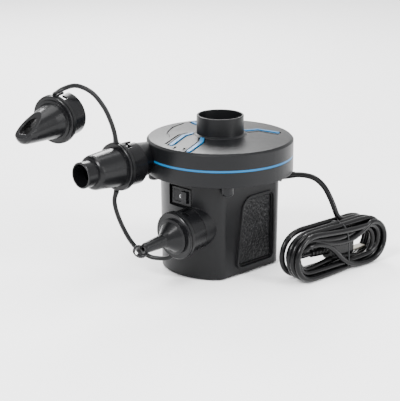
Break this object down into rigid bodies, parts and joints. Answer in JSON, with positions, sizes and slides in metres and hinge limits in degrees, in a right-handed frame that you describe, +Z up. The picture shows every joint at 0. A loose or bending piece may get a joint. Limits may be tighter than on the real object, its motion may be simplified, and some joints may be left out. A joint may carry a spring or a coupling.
{
  "type": "electric air pump",
  "caption": "Mains electric air pump: round impeller head on a flat-sided motor housing, top inlet port, side outlet with tethered bayonet nozzles, and a coiled cord.",
  "frame": {"origin": "centre of the base on the motor axis, on the plane the feet stand on", "axes": "+Z up along the motor axis, -Y the front with the switch and storage post and the way the outlet points, X across the two flat grip sides"},
  "size_m": [0.1559, 0.2524, 0.1486],
  "materials": {
    "housing": "satin moulded plastic, charcoal black",
    "head": "satin moulded plastic, charcoal grey",
    "accent": "blue moulded plastic, semi gloss",
    "grip": "pebbled soft-touch panel",
    "nozzle": "semi gloss black plastic",
    "strap": "flexible black strap",
    "switch": "black rocker switch",
    "cord": "glossy black flex",
    "tie": "black wire tie",
    "feet": "black rubber",
    "steel": "zinc plated steel",
    "core": "laminated electrical steel",
    "copper": "enamelled copper",
    "inner": "natural moulded nylon",
    "carbon": "carbon brush",
    "pins": "nickel plated brass"
  },
  "bodies": {
    "pump": {"motor_housing": "housing", "bottom_cover": "housing", "rubber_feet": "feet", "case_screws": "steel", "rim_screws": "steel", "grip_panel_left": "grip", "grip_panel_right": "grip", "switch_housing": "switch", "head_lower_shell": "head", "head_upper_shell": "head", "inlet_port": "head", "trim_ring": "accent", "top_rib_1": "accent", "top_rib_2": "accent", "top_rib_3": "accent", "top_rib_4": "accent", "inlet_grille": "head", "lower_bearing": "pins", "upper_bearing": "pins", "lower_motor_bracket": "inner", "upper_motor_bracket": "inner", "stator_core": "core", "field_coils": "copper", "motor_screws": "steel", "brush_holders": "pins", "carbon_brushes": "carbon", "brush_springs": "steel", "lower_strap_front": "strap", "lower_strap_back": "strap", "cord_gland": "strap", "power_cord": "cord", "cord_hank": "cord", "hank_tie": "tie", "plug_body": "cord", "plug_pins": "pins"},
    "rotor": {"motor_shaft": "steel", "armature_core": "core", "armature_windings": "copper", "commutator": "copper", "cooling_fan": "inner", "impeller": "inner", "impeller_nut": "steel"},
    "rocker": {"rocker": "switch"},
    "tether": {"tether_ring_outlet": "strap", "upper_strap": "strap", "tether_ring_slant": "strap"},
    "stepped_nozzle": {"stepped_adaptor": "nozzle"},
    "slant_nozzle": {"slant_adaptor": "nozzle"},
    "needle_carrier": {"tether_ring_needle": "strap"},
    "needle_nozzle": {"needle_adaptor": "nozzle"}
  },
  "joints": [
    {"name": "rotor_spin", "type": "hinge", "parent": "pump", "child": "rotor", "pos_m": [0, 0, 0.04], "axis": [0, 0, 1], "continuous": true},
    {"name": "rocker_tilt", "type": "hinge", "parent": "pump", "child": "rocker", "pos_m": [0.001, -0.0376, 0.0615], "axis": [0, 0, 1], "range_deg": [0, 14]},
    {"name": "outlet_slide", "type": "slide", "parent": "pump", "child": "tether", "axis": [0, -1, 0], "range_m": [0, 0.024], "deforming": ["lower_strap_front"]},
    {"name": "stepped_twist", "type": "hinge", "parent": "tether", "child": "stepped_nozzle", "pos_m": [-0.03, -0.0792, 0.085], "axis": [0, -1, 0], "range_deg": [0, 18]},
    {"name": "slant_turn", "type": "hinge", "parent": "tether", "child": "slant_nozzle", "pos_m": [-0.05, -0.1197, 0.1234], "axis": [0.1894, -0.9745, -0.1201], "continuous": true},
    {"name": "needle_slide", "type": "slide", "parent": "pump", "child": "needle_carrier", "axis": [0, -0.9962, -0.0872], "range_m": [0, 0.024], "deforming": ["lower_strap_back"]},
    {"name": "needle_twist", "type": "hinge", "parent": "needle_carrier", "child": "needle_nozzle", "pos_m": [0.013, -0.062, 0.038], "axis": [0, -0.9962, -0.0872], "range_deg": [0, 18]}
  ]
}
